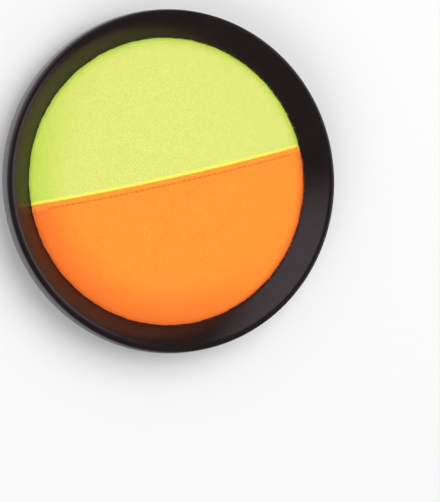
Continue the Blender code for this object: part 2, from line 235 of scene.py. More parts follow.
def joined(shapes):
    """Several (points, faces) shapes as one, each one's corner numbers moved on past the last."""
    starts = np.cumsum([0] + [len(points) for points, faces in shapes[:-1]])
    points = np.concatenate([points for points, faces in shapes])
    return points, np.concatenate([shape[1] + start for shape, start in zip(shapes, starts)])


def make_piece(name, finish, points, face_sets, marks=None, uv=None, weld=True):
    """Put an array of points and arrays of faces into a mesh object at the origin.

    A welded piece has its doubled points at seams and poles drawn together and its faces turned outwards.
    """
    face_sets = [face_sets] if isinstance(face_sets, np.ndarray) else face_sets
    corners = np.concatenate([faces.ravel() for faces in face_sets]).astype(np.int32)
    sizes = np.concatenate([np.full(len(faces), faces.shape[1]) for faces in face_sets])
    starts = np.concatenate([[0], np.cumsum(sizes)[:-1]]).astype(np.int32)
    mesh = bpy.data.meshes.new(name)
    mesh.vertices.add(len(points))
    mesh.vertices.foreach_set("co", (points * MM).astype(np.float32).ravel())
    mesh.loops.add(len(corners))
    mesh.loops.foreach_set("vertex_index", corners)
    mesh.polygons.add(len(starts))
    mesh.polygons.foreach_set("loop_start", starts)
    mesh.update(calc_edges=True)
    if uv is not None:
        layer = mesh.uv_layers.new(name="UVMap")
        layer.data.foreach_set("uv", (uv[corners] * MM).astype(np.float32).ravel())
    for label, values in (marks or {}).items():
        mark = mesh.attributes.new(label, "FLOAT", "POINT")
        mark.data.foreach_set("value", values.astype(np.float32).ravel())
    if weld:
        shape = bmesh.new()
        shape.from_mesh(mesh)
        bmesh.ops.remove_doubles(shape, verts=shape.verts, dist=1e-8)
        bmesh.ops.recalc_face_normals(shape, faces=shape.faces)
        shape.to_mesh(mesh)
        shape.free()
    mesh.polygons.foreach_set("use_smooth", np.ones(len(mesh.polygons), bool))
    mesh.materials.append(finish)
    piece = bpy.data.objects.new(name, mesh)
    bpy.context.scene.collection.objects.link(piece)
    return piece


def add_piece(name, finish, shape, body, nodes, weld=True):
    """A piece that rides on its body and stands for its solids."""
    piece = make_piece(name, finish, *shape, weld=weld)
    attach(piece, body)
    if nodes:
        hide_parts(*nodes)
    return piece


def rounded_line(corners, radii, steps=8):
    """A line of straight runs whose corners are arcs that touch both neighbouring runs.

    At a corner that turns by an angle a, an arc of radius r starts r tan(a/2) before the corner.
    Each straight run also gets points near its ends, which keep its shading flat.
    """
    corners = np.asarray(corners, float)
    radii = np.asarray(radii, float)
    run = unit(np.diff(corners, axis=0))
    into = np.concatenate([run[:1], run])
    out = np.concatenate([run, run[-1:]])
    turn = np.arctan2(into[:, 0] * out[:, 1] - into[:, 1] * out[:, 0], (into * out).sum(axis=1))
    start = corners - into * (radii * np.tan(np.abs(turn) / 2))[:, None]
    across = np.stack([-into[:, 1], into[:, 0]], axis=1) * np.sign(turn)[:, None]
    centre = start + across * radii[:, None]
    angle = turn[:, None] * np.linspace(0, 1, steps)
    arm = (start - centre)[:, None, :]
    arcs = centre[:, None, :] + np.stack(
        [arm[..., 0] * np.cos(angle) - arm[..., 1] * np.sin(angle),
         arm[..., 0] * np.sin(angle) + arm[..., 1] * np.cos(angle)], axis=-1)
    share = np.array([0.04, 0.3, 0.7, 0.96])[None, :, None]
    after = np.concatenate([arcs[1:, 0], arcs[-1:, -1]])
    runs = arcs[:, -1][:, None, :] * (1 - share) + after[:, None, :] * share
    line = np.concatenate([arcs, runs], axis=1)[:-1].reshape(-1, 2)
    return np.concatenate([line, arcs[-1]])


def arc(centre, radius, first, last, steps):
    """Points round a centre, evenly from one angle to another."""
    turn = np.linspace(first, last, steps)
    return centre + radius * np.stack([np.cos(turn), np.sin(turn)], axis=1)


def turned(profile, steps, close=False):
    """A profile turned round Z: (r, h) goes to (r cos t, r sin t, h) at every angle t."""
    angle = np.arange(steps) * 2 * np.pi / steps
    radius, height = profile[:, 0], profile[:, 1]
    points = np.stack([np.outer(np.cos(angle), radius), np.outer(np.sin(angle), radius),
                       np.broadcast_to(height, (steps, len(profile)))], axis=-1)
    return points.reshape(-1, 3), grid_faces(steps, len(profile), True, close)


def wires(paths, side, radius, sides):
    """Round wires along many paths at once, with their ends capped.

    A ring of points stands round each path point: at angle t, radius times (cos t of the side axis
    plus sin t of tangent x side).
    """
    count, length = paths.shape[:2]
    tangent = unit(np.gradient(paths, axis=1))
    side = np.broadcast_to(side[:, None, :], paths.shape)
    side = unit(side - tangent * (side * tangent).sum(axis=-1, keepdims=True))
    rise = np.cross(tangent, side)
    angle = np.arange(sides) * 2 * np.pi / sides
    ring = (np.cos(angle)[:, None] * side[:, :, None, :] + np.sin(angle)[:, None] * rise[:, :, None, :])
    points = paths[:, :, None, :] + np.broadcast_to(radius, (count, length))[:, :, None, None] * ring
    first = (np.arange(count) * length * sides)[:, None]
    quads = grid_faces(length, sides, close_columns=True)[None] + first[:, :, None]
    start = first + np.arange(sides)[::-1]
    end = first + (length - 1) * sides + np.arange(sides)
    return points.reshape(-1, 3), [quads.reshape(-1, 4), np.concatenate([start, end])]


def rounded_slab(x_low, x_high, half_width, z_low, z_high, corner, rounding, steps=10):
    """A flat pad: rings of a rounded rectangle, drawn in along quarter arcs at its lower and upper edges.

    The rectangle's corners are quarter circles, and the first and last rings close to a point.
    """
    quarter = np.linspace(0, np.pi / 2, steps)
    angle = np.concatenate([quarter + turn * np.pi / 2 for turn in range(4)])
    sign_x = np.repeat([1, -1, -1, 1], steps)
    sign_y = np.repeat([1, 1, -1, -1], steps)
    half_length = (x_high - x_low) / 2
    fold = np.linspace(0, np.pi / 2, 6)
    inset = rounding * (1 - np.concatenate([np.sin(fold), np.cos(fold)]))
    height = np.concatenate([z_low + rounding * (1 - np.cos(fold)), z_high - rounding * (1 - np.sin(fold))])
    bend = np.maximum(corner - inset, 0.02)[:, None]
    x = sign_x * (half_length - corner) + bend * np.cos(angle)
    y = sign_y * (half_width - corner) + bend * np.sin(angle)
    rings = np.stack([x + (x_low + x_high) / 2, y, np.broadcast_to(height[:, None], x.shape)], axis=-1)
    ends = rings[[0, -1]] * 1.0
    ends[:, :, 0] = (x_low + x_high) / 2
    ends[:, :, 1] = 0
    near = rings[[0, -1]] * 0.9 + ends * 0.1
    rings = np.concatenate([ends[:1], near[:1], rings, near[1:], ends[1:]])
    return rings.reshape(-1, 3), grid_faces(len(rings), 4 * steps, close_columns=True)


# Materials

def colour(red, green, blue):
    """A display colour from 0 to 255 as the linear colour that a shader takes."""
    share = np.array([red, green, blue]) / 255
    linear = np.where(share <= 0.04045, share / 12.92, ((share + 0.055) / 1.055) ** 2.4)
    return (*(float(value) for value in linear), 1.0)


def add_node(tree, kind, inputs=None, **settings):
    """A node with its settings, and inputs that are either plain values or another node's output."""
    made = tree.nodes.new("ShaderNode" + kind)
    for label, value in settings.items():
        setattr(made, label, value)
    for label, value in (inputs or {}).items():
        if isinstance(value, bpy.types.NodeSocket):
            tree.links.new(value, made.inputs[label])
        else:
            made.inputs[label].default_value = value
    return made


def math_node(tree, operation, first, second=0.0, third=0.0):
    """One step of arithmetic on up to three values or outputs."""
    return add_node(tree, "Math", {0: first, 1: second, 2: third}, operation=operation).outputs[0]


def mix_colours(tree, factor, first, second, amount=1.0):
    """The first colour, moved towards the second by the factor times the amount."""
    share = math_node(tree, "MULTIPLY", factor, amount)
    return add_node(tree, "Mix", {0: share, 6: first, 7: second}, data_type="RGBA").outputs[2]


def spot(tree, kind="Object"):
    """The object or UV coordinates of a place on the surface."""
    return add_node(tree, "TexCoord").outputs[kind]


def feed(tree, label, output):
    """Let an output set one of the shader's values."""
    tree.links.new(output, tree.nodes["Principled BSDF"].inputs[label])


def marked(tree, name):
    """A value that is stored at the points of the mesh."""
    return add_node(tree, "Attribute", attribute_name=name).outputs["Fac"]


def add_noise(tree, scale, detail=4.0):
    """Cloudy noise in the object's own space."""
    return add_node(tree, "TexNoise", {"Vector": spot(tree), "Scale": scale, "Detail": detail}).outputs[0]


def add_weave(tree, pitch, kind="Object"):
    """Crossing yarns: a height, half of 1 + sin(x) sin(y), and the valleys, 1 - |sin(x) sin(y)|, where the
    materials paint shade.
    """
    place = add_node(tree, "SeparateXYZ", {0: spot(tree, kind)})
    rate = math_node(tree, "DIVIDE", 2 * math.pi, pitch)
    turns = [math_node(tree, "MULTIPLY", place.outputs[axis], rate) for axis in (0, 1)]
    both = math_node(tree, "MULTIPLY", *(math_node(tree, "SINE", turn) for turn in turns))
    valley_shade = math_node(tree, "SUBTRACT", 1.0, math_node(tree, "ABSOLUTE", both))
    return math_node(tree, "MULTIPLY_ADD", both, 0.5, 0.5), valley_shade


def add_dye(tree, base, other, scale, amount):
    """Uneven dye: soft noise carries the colour part of the way to another one."""
    noise = add_noise(tree, scale, 3.0)
    spread = add_node(tree, "MapRange", {"Value": noise, "From Min": 0.33, "From Max": 0.67})
    return mix_colours(tree, spread.outputs[0], base, other, amount)


def add_grain(tree, scale, low, high):
    """Fine grain that carries the roughness between two values. The noise is handed back for a bump."""
    noise = add_noise(tree, scale)
    spread = add_node(tree, "MapRange", {"Value": noise, "From Min": 0.3, "From Max": 0.7,
                                         "To Min": low, "To Max": high})
    feed(tree, "Roughness", spread.outputs[0])
    return noise


def add_bump(tree, height, distance, strength, under=None):
    """Relief of a given depth, on top of another one where there is one under it."""
    inputs = {"Height": height, "Distance": distance, "Strength": strength}
    if under is not None:
        inputs["Normal"] = under
    relief = add_node(tree, "Bump", inputs).outputs[0]
    feed(tree, "Normal", relief)
    return relief


def new_material(name, roughness, **constants):
    """A material whose shader has its constant values set, and its nodes."""
    made = bpy.data.materials.new(name)
    made.use_nodes = True
    inputs = made.node_tree.nodes["Principled BSDF"].inputs
    inputs["Roughness"].default_value = roughness
    for label, value in constants.items():
        inputs[label.replace("_", " ")].default_value = value
    return made, made.node_tree


def make_plastic():
    """Black moulded plastic: nearly smooth, with a fine grain and faint handling marks in its gloss."""
    made, tree = new_material("black_moulded_plastic", 0.2, IOR=1.55, Specular_Tint=(1.0, 0.87, 0.93, 1))
    feed(tree, "Base Color", add_dye(tree, colour(23, 15, 16), colour(30, 21, 22), 60.0, 0.7))
    add_grain(tree, 130.0, 0.16, 0.24)
    add_bump(tree, add_noise(tree, 2600.0), 0.00002, 0.35)
    return made


def make_cloth(name, base, other, edge, highlight_share, rim):
    """Woven base cloth of one half of the face, painted brighter along its seam as a highlight and deeper at
    the rim as painted shade.
    """
    made, tree = new_material(name, 0.72, Sheen_Weight=0.9, Sheen_Roughness=0.32)
    yarn, valley_shade = add_weave(tree, 0.0011)
    # Painted shade: the cloth is a little deeper in the valleys between yarns.
    shade = mix_colours(tree, valley_shade, add_dye(tree, base, other, 420.0, 0.55), other, 0.16)
    # Painted shade: deeper colour at the rim, and further in on one side.
    shade = mix_colours(tree, marked(tree, "deep_dye"), shade, rim, 0.72)
    # Painted highlight: the bare strip beside the seam is painted brighter, as if its raised edge caught the
    # light.
    shade = mix_colours(tree, marked(tree, "seam_edge"), shade, edge, highlight_share)
    feed(tree, "Base Color", shade)
    nap = add_grain(tree, 1500.0, 0.6, 0.85)
    add_bump(tree, nap, 0.00012, 0.4, add_bump(tree, yarn, 0.00014, 0.6))
    return made


def make_hooks(name, root, tip, rim):
    """Nylon hooks: painted shade makes them darker at the root and the rim, and painted sheen makes them
    paler at the bend.
    """
    made, tree = new_material(name, 0.7, IOR=1.4, Sheen_Weight=0.6, Sheen_Roughness=0.35)
    # Painted shade and sheen: darker at the root and paler at the bend, along the rise mark.
    shade = mix_colours(tree, marked(tree, "rise"), root, add_dye(tree, tip, root, 900.0, 0.35))
    # Painted shade: deeper colour at the rim, and further in on one side.
    feed(tree, "Base Color", mix_colours(tree, marked(tree, "deep_dye"), shade, rim, 0.66))
    add_grain(tree, 700.0, 0.6, 0.8)
    return made


def make_thread(name, base, other):
    """Twisted sewing thread: slanting waves of light and dark ply, the dark waves painted shade between the
    plies.
    """
    made, tree = new_material(name, 0.55, Sheen_Weight=0.2)
    ply = add_node(tree, "TexWave", {"Vector": spot(tree), "Scale": 900.0, "Distortion": 1.5},
                   bands_direction="DIAGONAL").outputs["Fac"]
    dye = add_dye(tree, base, other, 500.0, 0.6)
    # Painted shade: the dark waves between plies.
    feed(tree, "Base Color", mix_colours(tree, ply, dye, other, 0.35))
    add_bump(tree, ply, 0.00008, 0.7)
    return made


def make_webbing():
    """Black strap webbing: yarns along the strap's own length, with the ribs' crests a little paler and
    painted shade in the valleys.
    """
    made, tree = new_material("black_strap_webbing", 0.62, Sheen_Weight=0.3, Sheen_Roughness=0.45)
    yarn, valley_shade = add_weave(tree, 0.0009, "UV")
    dye = add_dye(tree, colour(38, 38, 40), colour(52, 52, 54), 260.0, 0.6)
    pale_crests = mix_colours(tree, marked(tree, "rib"), dye, colour(74, 74, 76), 0.35)
    # Painted shade: darker in the valleys between yarns.
    feed(tree, "Base Color", mix_colours(tree, valley_shade, pale_crests, colour(20, 20, 21), 0.4))
    nap = add_grain(tree, 1800.0, 0.52, 0.78)
    add_bump(tree, nap, 0.00012, 0.5, add_bump(tree, yarn, 0.00018, 0.8))
    return made


def make_tape(name, base, other):
    """Black tape that carries hooks or loops, woven fine."""
    made, tree = new_material(name, 0.8, Sheen_Weight=0.2)
    yarn, valley_shade = add_weave(tree, 0.0008)
    dye = add_dye(tree, base, other, 500.0, 0.6)
    # Painted shade: darker in the valleys between yarns.
    feed(tree, "Base Color", mix_colours(tree, valley_shade, dye, colour(18, 18, 19), 0.3))
    add_grain(tree, 1600.0, 0.7, 0.9)
    add_bump(tree, yarn, 0.00015, 0.7)
    return made


def make_rivet_metal():
    """Plated rivets: bright metal with fine rubbing marks."""
    made, tree = new_material("plated_rivet_metal", 0.3, Metallic=1.0)
    feed(tree, "Base Color", add_dye(tree, colour(196, 196, 192), colour(168, 167, 162), 700.0, 0.7))
    add_bump(tree, add_grain(tree, 1300.0, 0.24, 0.42), 0.00003, 0.5)
    return made


def make_foam():
    """Grey foam: open cells as small hollows, painted darker inside as shade."""
    made, tree = new_material("grey_foam", 0.9)
    cells = add_node(tree, "TexVoronoi", {"Vector": spot(tree), "Scale": 1100.0}).outputs["Distance"]
    dye = add_dye(tree, colour(98, 98, 98), colour(80, 80, 81), 240.0, 0.7)
    # Painted shade: darker at the middle of each cell, in its hollow.
    feed(tree, "Base Color", mix_colours(tree, cells, colour(52, 52, 53), dye))
    add_bump(tree, cells, 0.0003, 0.8)
    return made


plastic = make_plastic()
# The cloths' third colours are painted highlights along the seam. The last colour of each cloth and hook
# material is painted shade at the rim.
yellow_cloth = make_cloth("yellow_hook_cloth", colour(227, 232, 125), colour(217, 227, 108),
                          colour(255, 244, 88), 0.9, colour(187, 221, 46))
orange_cloth = make_cloth("orange_hook_cloth", colour(255, 155, 41), colour(255, 144, 35),
                          colour(254, 156, 42), 0.7, colour(255, 102, 25))
yellow_hooks = make_hooks("yellow_nylon_hooks", colour(225, 230, 122), colour(232, 235, 142),
                          colour(192, 221, 60))
orange_hooks = make_hooks("orange_nylon_hooks", colour(255, 153, 44), colour(255, 165, 62),
                          colour(255, 104, 27))
orange_thread = make_thread("orange_sewing_thread", colour(248, 138, 46), colour(230, 114, 34))
black_thread = make_thread("black_sewing_thread", colour(58, 58, 60), colour(34, 34, 35))
webbing = make_webbing()
hook_tape = make_tape("black_hook_tape", colour(44, 44, 46), colour(34, 34, 35))
loop_tape = make_tape("black_loop_tape", colour(50, 50, 52), colour(40, 40, 41))
# Painted shade and sheen: the tape's hooks and loops are darker at the root, and paler at the hooks' bends
# and the loops' tops.
tape_pile = make_hooks("black_tape_pile", colour(30, 30, 31), colour(70, 70, 72), colour(24, 24, 25))
rivet_metal = make_rivet_metal()
foam_grey = make_foam()


# Dish

def floor_under(radius):
    """The floor's underside: the recess height less the crown times the square of the radius share."""
    return HAND_RECESS - FLOOR_CROWN * (radius / FLOOR_RADIUS) ** 2


def meeting_point(point_a, along_a, point_b, along_b):
    """Where two lines meet, from two points and two directions."""
    share = np.linalg.solve(np.stack([along_a, -along_b], axis=1), point_b - point_a)
    return point_a + along_a * share[0]


def dish_profile():
    """The dish's outline: crowned floor, wall up to a round lip, skirt, hollow rim and foot ring.

    The wall is a parabola that bows in a little, drawn from its two ends and a point back from the lip by a
    quarter of its length, along its direction there. The lip is a broad arc and then a tighter one, and the
    skirt's outside swells at the mould's parting line as a narrow bell curve.
    """
    corner = np.array([WALL_FOOT, floor_under(FLOOR_RADIUS) + FLOOR_THICKNESS])
    roll_centre = np.array([LIP_CENTRE[0], DISH_HEIGHT - LIP_INNER_RADIUS])
    reach = roll_centre - corner
    slope = math.atan2(reach[1], reach[0]) + math.asin(LIP_INNER_RADIUS / np.hypot(*reach))
    along = np.array([math.cos(slope), math.sin(slope)])
    outward = np.array([along[1], -along[0]]) * WALL_THICKNESS
    floor = np.linspace(0, 0.96, 9) * FLOOR_RADIUS
    leaving = slope - WALL_BEND
    roll = arc(roll_centre, LIP_INNER_RADIUS, leaving + np.pi / 2, np.pi / 2, 20)
    lip = arc(LIP_CENTRE, LIP_RADIUS, np.pi / 2, 0, 18)
    end_along = np.array([math.cos(leaving), math.sin(leaving)])
    middle = roll[0] - end_along * np.hypot(*(roll[0] - corner)) / 4
    share = np.linspace(0, 1, 17)[2:, None]
    wall = corner * (1 - share) ** 2 + middle * 2 * share * (1 - share) + roll[0] * share ** 2
    floor_top = np.stack([floor, floor_under(floor) + FLOOR_THICKNESS], axis=1)
    foot = rounded_line([floor_top[-1], corner, wall[0]], [0, 1.5, 0])
    skirt_low = DISH_HEIGHT - SKIRT_HEIGHT
    half = SKIRT_THICKNESS / 2
    height = np.linspace(LIP_CENTRE[1], skirt_low + half, 44)[1:-1]
    fall = (LIP_CENTRE[1] - height) / (LIP_CENTRE[1] - skirt_low - half)
    swell = PARTING_SWELL * np.exp(-((height - LIP_CENTRE[1] + PARTING_DROP) / PARTING_WIDTH) ** 2)
    skirt = np.stack([RIM_RADIUS + SKIRT_FLARE * fall + swell, height], axis=1)
    edge_centre = np.array([RIM_RADIUS + SKIRT_FLARE - half, skirt_low + half])
    edge = arc(edge_centre, half, 0, -np.pi, 20)
    skirt_inner = np.array([RIM_RADIUS - SKIRT_THICKNESS, LIP_CENTRE[1]])
    hollow = meeting_point(corner + outward, along, edge[-1], skirt_inner - edge[-1])
    rim_floor = np.array([0, floor_under(FLOOR_RADIUS)])
    floor_edge = meeting_point(corner + outward, along, rim_floor, np.array([1.0, 0.0]))
    under = np.linspace(0.96, 0, 9) * FOOT_INNER
    floor_back = np.stack([under, floor_under(under)], axis=1)
    back = rounded_line(
        [edge[-1] + [0, 0.05], hollow, floor_edge, [FOOT_RADIUS, floor_under(FOOT_RADIUS)], [FOOT_RADIUS, 0],
         [FOOT_INNER, 0], [FOOT_INNER, floor_under(FOOT_INNER)], floor_back[0]],
        [0, 0.5, 1.6, 0.9, 0.7, 0.7, 0.9, 0])
    return np.concatenate(
        [floor_top[:-1], foot, wall[1:], roll[1:], lip[1:], skirt, edge, back, floor_back[1:]])


add_piece("dish_shell", plastic, turned(dish_profile(), 320), "paddle", ["dish"])
boss_top = floor_under(RIVET_X) + BOSS_SINK
bosses = joined([rounded_slab(*sorted((side * BOSS_NEAR, side * BOSS_FAR)), BOSS_WIDTH / 2, BOSS_BOTTOM,
                              boss_top, BOSS_CORNER, BOSS_ROUNDING) for side in (-1, 1)])
add_piece("strap_bosses", plastic, bosses, "paddle", [])


# Face

def fabric_under(x, y):
    """A broad crown: 0.3 of it is the root of 1 - u^8, which rolls the edge down, and the rest is 1 - u^2."""
    share = np.minimum(1, np.hypot(x, y) / FACE_RADIUS)
    crown = EDGE_ROLL_SHARE * np.sqrt(1 - share ** FACE_FLATNESS) + (1 - EDGE_ROLL_SHARE) * (1 - share ** 2)
    base = floor_under(FACE_RADIUS) + FLOOR_THICKNESS + GAP
    return base + FACE_CROWN * crown


def rim_share(x, y):
    """Square of the way from a line just inside the rim to the rim itself."""
    return np.clip((np.hypot(x, y) - FACE_RADIUS) / EDGE_WIDTH + 1, 0, 1) ** 2


def seam_line(x):
    """The seam's place across the face: off centre, and drawn up towards both ends as a shallow parabola."""
    return SEAM_OFFSET + SEAM_BOW * ((x / FACE_RADIUS) ** 2 - 0.33)


def fabric_top(x, y, hemmed):
    """Top of the cloth at a place on the face.

    The hemmed half is raised along the seam, with a furrow under the stitches that puckers once a stitch.
    The other half is pressed down there. Slow waves make both a little uneven, and both drop at the rim.
    """
    distance = np.abs(y - seam_line(x))
    inner = 1 - smooth_step(66, 79, np.hypot(x, y))
    uneven = UNEVENNESS * np.sin(x / 7.3 + 0.4) * np.cos(y / 9.1 + x / 23) * inner
    top = fabric_under(x, y) + FABRIC_THICKNESS + uneven - EDGE_DROP * rim_share(x, y)
    if not hemmed:
        return top - SEAM_PRESS * np.exp(-(distance / SEAM_PRESS_WIDTH) ** 2)
    from_stitches = distance - SEAM_STITCH_INSET
    hem = HEM_HEIGHT * (1 - smooth_step(HEM_FLAT_END, HEM_RAMP_END, distance))
    furrow = FURROW_DEPTH * np.exp(-(from_stitches / FURROW_WIDTH) ** 2)
    wave = PUCKER_HEIGHT * np.cos(2 * np.pi * x / STITCH_PITCH)
    return top + hem - furrow + wave * np.exp(-(from_stitches / PUCKER_WIDTH) ** 2)


def deep_dye(x, y):
    """Share of painted shade: a narrow band at the rim, and a broad one on the side that is painted as lying
    in shade.

    Both climb as smooth steps of the radius. The broad one also follows the cosine of the angle to that side.
    """
    radius = np.maximum(np.hypot(x, y), 0.1)
    toward = (x * SHADED_SIDE[0] + y * SHADED_SIDE[1]) / radius
    narrow = smooth_step(FACE_RADIUS - NARROW_SHADE_REACH, FACE_RADIUS + 1, radius)
    broad = smooth_step(FACE_RADIUS - BROAD_SHADE_REACH, FACE_RADIUS + 5, radius)
    return np.maximum(narrow, broad * smooth_step(-0.3, 0.65, toward))


def there_and_back(top, under):
    """Columns that run over the top and back underneath, as closed loops."""
    return np.concatenate([top.T, under.T[:, ::-1]], axis=1)


def half_face(side, hemmed):
    """One part of the cloth disc: rows from seam to rim, each column a closed loop over the top and back.

    Column a stands at x = c sin(a), where c is half the part's greatest width, and its rows lie close
    together at both ends. The seam edge is rounded by a quarter ellipse and laps onto the other cloth on the
    hemmed part. The first row closes to a line, and each end column to a point. Close to the rim the top
    spreads and drops and the underside lifts, as a square, and two waves leave the cut a little uneven.
    """
    angle = np.linspace(-np.pi / 2, np.pi / 2, 221)
    lap = HEM_LAP if hemmed else -SEAM_CLEARANCE
    corner = max(side * seam_line(FACE_RADIUS) - lap, 0)
    x = np.sqrt(FACE_RADIUS ** 2 - corner ** 2) * np.sin(angle)[None, :]
    rim = np.sqrt(np.maximum(FACE_RADIUS ** 2 - x ** 2, 0))
    start = np.maximum(side * seam_line(x) - lap, -rim)
    depth = np.maximum(rim - start, 0)
    depth[:, [0, -1]] = 0
    near = np.concatenate([0.9 * (1 - np.cos(np.linspace(0, np.pi / 2, 8))), np.arange(1.15, 9, 0.25)])
    near_rows = near[:, None] * np.minimum(1, depth / 12)
    share = np.sin(np.linspace(0, np.pi / 2, 60))[1:, None]
    rows = np.concatenate([near_rows, near_rows[-1:] + (depth - near_rows[-1:]) * share])
    y = side * (start + rows)
    x = np.broadcast_to(x, y.shape)
    top = fabric_top(x, y, hemmed)
    under = fabric_under(x, y) + EDGE_LIFT * rim_share(x, y)
    if hemmed:
        under = under + HEM_HEIGHT * (1 - smooth_step(0.3, 1.6, rows))
    middle = (top + under) / 2
    full = np.sqrt(1 - (1 - smooth_step(0, 0.85, rows)) ** 2)
    top = middle + (top - middle) * full
    under = middle + (under - middle) * full
    around = np.arctan2(y, x)
    cut = 0.14 + 0.08 * np.sin(29 * around + 1) + 0.06 * np.sin(71 * around + 2.4)
    wider = 1 + (EDGE_SPREAD - cut) / FACE_RADIUS * rim_share(x, y)
    points = np.stack([there_and_back(x * wider, x * wider), there_and_back(y * wider, y * wider),
                       there_and_back(top, under)], axis=-1)
    # How far from the seam the painted highlight on the bare strip reaches.
    reach = 3.3 if hemmed else 2.2
    # The second mark is the share of painted shade at the rim.
    marks = {"seam_edge": 1 - smooth_step(reach - 0.6, reach + 0.5, there_and_back(rows, rows)),
             "deep_dye": deep_dye(points[..., 0], points[..., 1])}
    return points.reshape(-1, 3), grid_faces(*points.shape[:2], close_columns=True), marks


def hook_pile(spots, normal, lean, height):
    """Many small hooks, which all follow one crook outline along their lean and their normal.

    The wire is three-sided, and a mark runs from 0 at the root to 1 at the bend.
    """
    lean = unit(lean - normal * (lean * normal).sum(axis=-1, keepdims=True))
    side = np.cross(normal, lean)
    along = HOOK_SHAPE[:, 0][None, :, None] * lean[:, None, :]
    up = HOOK_SHAPE[:, 1][None, :, None] * normal[:, None, :]
    paths = spots[:, None, :] + (along + up) * height[:, None, None]
    # The rise mark carries painted shade towards the root and painted sheen towards the bend.
    rise = np.repeat(HOOK_RISE, 3)
    # The second mark is the share of painted shade at the rim.
    marks = {"rise": np.tile(rise, len(spots)),
             "deep_dye": np.repeat(deep_dye(spots[:, 0], spots[:, 1]), len(rise))}
    return *wires(paths, side, HOOK_WIRE * HOOK_TAPER[None, :], 3), marks


def cloth_normal(x, y, hemmed):
    """Direction square to the cloth, from its top's rise along x and y, with steep places held back."""
    step = 0.05
    rise_x = (fabric_top(x + step, y, hemmed) - fabric_top(x - step, y, hemmed)) / (2 * step)
    rise_y = (fabric_top(x, y + step, hemmed) - fabric_top(x, y - step, hemmed)) / (2 * step)
    steep = np.maximum(1, np.hypot(rise_x, rise_y) / 0.9)
    return unit(np.stack([-rise_x / steep, -rise_y / steep, np.ones(len(x))], axis=1))


def on_cloth(x, y, hemmed):
    """Places on the cloth's top, spread out at the rim as the cloth is."""
    wider = 1 + EDGE_SPREAD * 0.8 / FACE_RADIUS * rim_share(x, y)
    return np.stack([x * wider, y * wider, fabric_top(x, y, hemmed)], axis=1)


def face_pile(side, hemmed):
    """Hooks over one part of the face, in rows across the seam.

    Rows and hooks along a row keep the pile's pitches, each hook moved a little at random. A hook stands
    square to the cloth there, so the ones near the rim lean out a little.
    """
    rows = np.arange(-ROWS_EACH_WAY, ROWS_EACH_WAY + 1)
    odd = (np.arange(len(rows)) % 2)[:, None]
    column, row = np.meshgrid(rows * ROW_PITCH, np.arange(HOOKS_IN_ROW) * HOOK_PITCH, indexing="ij")
    row = row + odd * HOOK_PITCH / 2
    x = (column + chance.normal(0, ROW_JITTER, column.shape)).ravel()
    distance = (row + chance.normal(0, HOOK_JITTER, row.shape)).ravel()
    distance = distance + (HEM_PILE_START if hemmed else FLAT_PILE_START)
    turn = np.sign(odd - 0.5) * np.pi / 2
    heading = (turn + chance.normal(0, HEADING_JITTER, row.shape)).ravel()
    y = seam_line(x) + side * distance
    keep = np.hypot(x, y) < FACE_RADIUS - 0.3
    if hemmed:
        keep &= np.abs(distance - SEAM_STITCH_INSET) > STITCH_CLEARANCE
    x, y, lean = x[keep], y[keep], level_lean(heading[keep])
    height = HOOK_HEIGHT * np.clip(chance.normal(1, 0.13, len(x)), 0.6, 1.3)
    return hook_pile(on_cloth(x, y, hemmed), cloth_normal(x, y, hemmed), lean, height)


def face_fringe(side, hemmed):
    """Loose yarn ends along the cut rim: each starts upright and bends as the square of the way along it."""
    around = np.linspace(0, np.pi, FRINGE_HAIRS) + chance.normal(0, 0.003, FRINGE_HAIRS)
    ring = FACE_RADIUS - 1.2 * chance.random(FRINGE_HAIRS) + 0.3
    x, y = ring * np.cos(around), side * ring * np.sin(around)
    keep = side * (y - seam_line(x)) > 0.2
    x, y = x[keep], y[keep]
    lean = random_lean(len(x))
    length = np.clip(chance.normal(1.15, 0.3, len(x)), 0.5, 1.9)
    share = np.array([-0.1, 0.35, 0.7, 1.0])
    bend = FRINGE_BEND * share ** 2
    course = share[None, :, None] * UP + bend[None, :, None] * lean[:, None, :]
    paths = on_cloth(x, y, hemmed)[:, None, :] + course * length[:, None, None]
    points, faces = wires(paths, np.cross(lean, UP), FRINGE_WIRE, 3)
    # The loose ends get half the painted rim shade, and rise paints them darker at the root and paler at the
    # tip.
    marks = {"rise": np.tile(np.repeat(share, 3), len(x)), "deep_dye": np.full(len(points), 0.5)}
    return points, faces, marks


def stitches(start, end, lift, sink, side_up, radius):
    """Short lengths of thread, each an arch from sink below to lift above, as sin(pi t) to the power 0.35."""
    share = np.linspace(0, 1, 9)
    arch = -sink + (lift + sink) * np.sin(np.pi * share) ** 0.35
    paths = start[:, None, :] * (1 - share)[None, :, None] + end[:, None, :] * share[None, :, None]
    paths = paths + arch[None, :, None] * UP * side_up
    side = unit(np.cross(end - start, UP))
    thick = radius * np.array([0.6, 0.9, 1, 1, 1, 1, 1, 0.9, 0.6])
    return wires(paths, side, thick[None, :], 6)


def add_face(label, side, hemmed, cloth, hooks, node):
    """One half of the face: its cloth, and the hooks and loose yarn ends that go with it."""
    base = add_piece(f"{label}_face_cloth", cloth, half_face(side, hemmed), "paddle", [node])
    pile = [add_piece(f"{label}_face_{kind}", hooks, shape(side, hemmed), "paddle", [], weld=False)
            for kind, shape in (("hooks", face_pile), ("fringe", face_fringe))]
    return base, pile


yellow_base, yellow_pile = add_face("yellow", 1, False, yellow_cloth, yellow_hooks, "hook_face_upper")
orange_base, orange_pile = add_face("orange", -1, True, orange_cloth, orange_hooks, "hook_face_lower")

